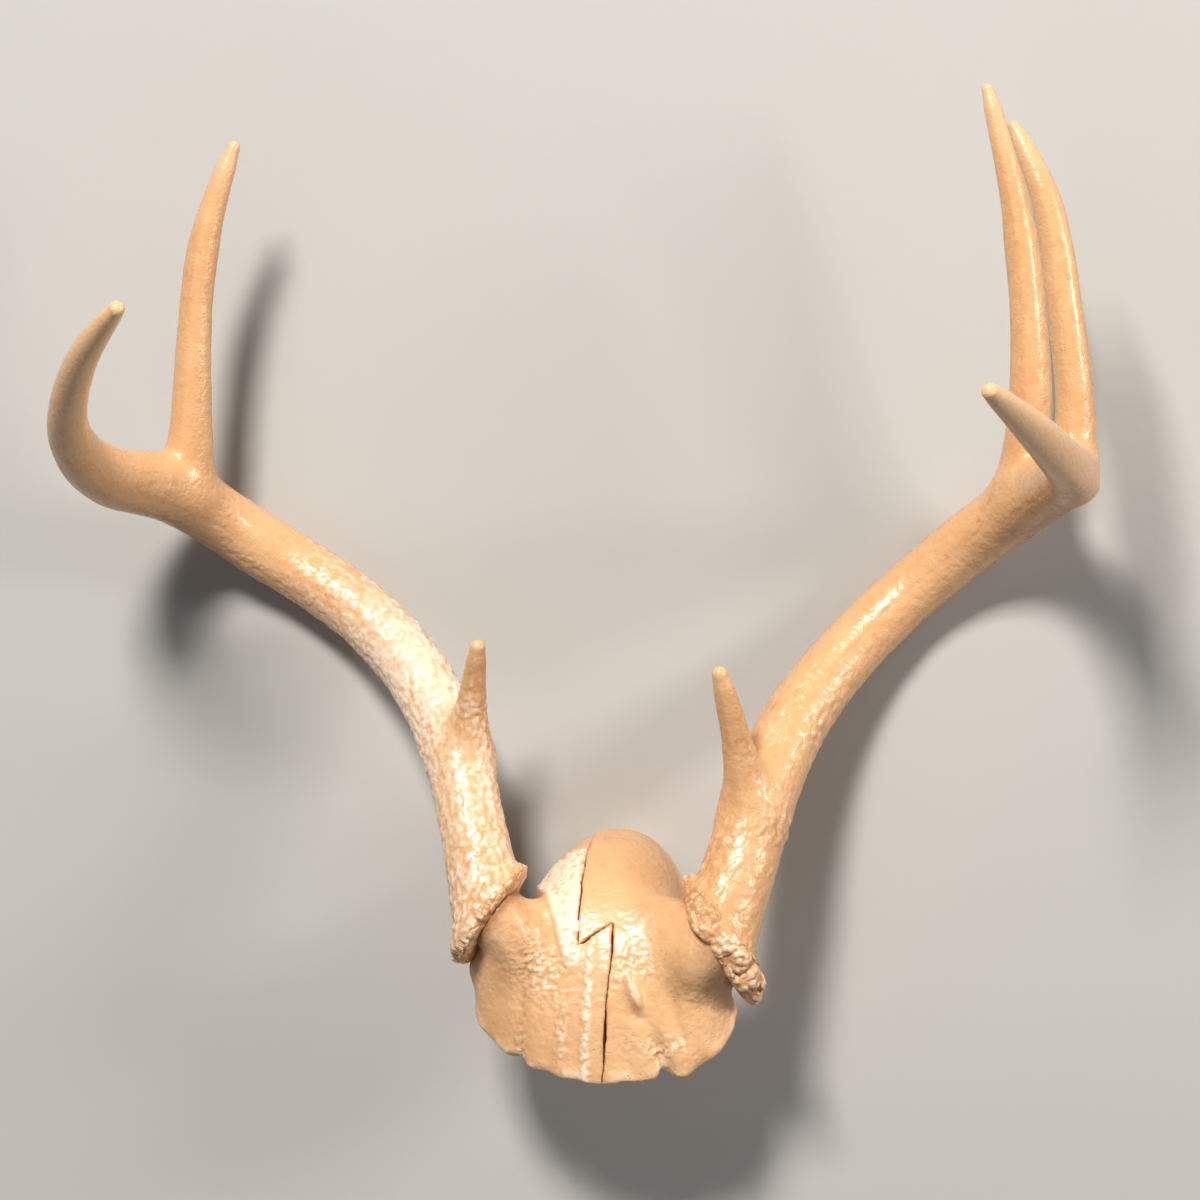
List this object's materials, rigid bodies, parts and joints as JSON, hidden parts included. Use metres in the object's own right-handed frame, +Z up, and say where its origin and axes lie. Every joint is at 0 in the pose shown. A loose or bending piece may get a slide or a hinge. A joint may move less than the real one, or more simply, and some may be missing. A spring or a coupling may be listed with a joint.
{
  "type": "white-tailed deer antlers on sawn skull plate",
  "caption": "Pair of white-tailed deer antlers with burrs, brow tines and upright tines, on a two-part sawn skull plate with a hollow underside, lying on its back.",
  "frame": {"origin": "middle of the bounding box at the floor, with the rack lying on its back", "axes": "+Z up from the floor, +Y from the skull plate towards the antler tips, +X towards the deer's left antler"},
  "size_m": [0.434, 0.4204, 0.2367],
  "materials": {
    "skull_bone": "warm tan cleaned bone with a soft gloss",
    "antler": "peach-tan antler, pearled and ridged near the burrs, polished at the tips",
    "burr": "knobbly tan antler, darker in its hollows"
  },
  "bodies": {
    "root": {"skull_plate_right": "skull_bone", "skull_plate_left": "skull_bone", "right_burr": "burr", "right_beam_lower": "antler", "right_beam_tip": "antler", "right_brow_tine": "antler", "right_second_tine": "antler", "left_burr": "burr", "left_beam_lower": "antler", "left_beam_middle": "antler", "left_beam_tip": "antler", "left_brow_tine": "antler", "left_second_tine": "antler", "left_third_tine": "antler"}
  },
  "joints": []
}
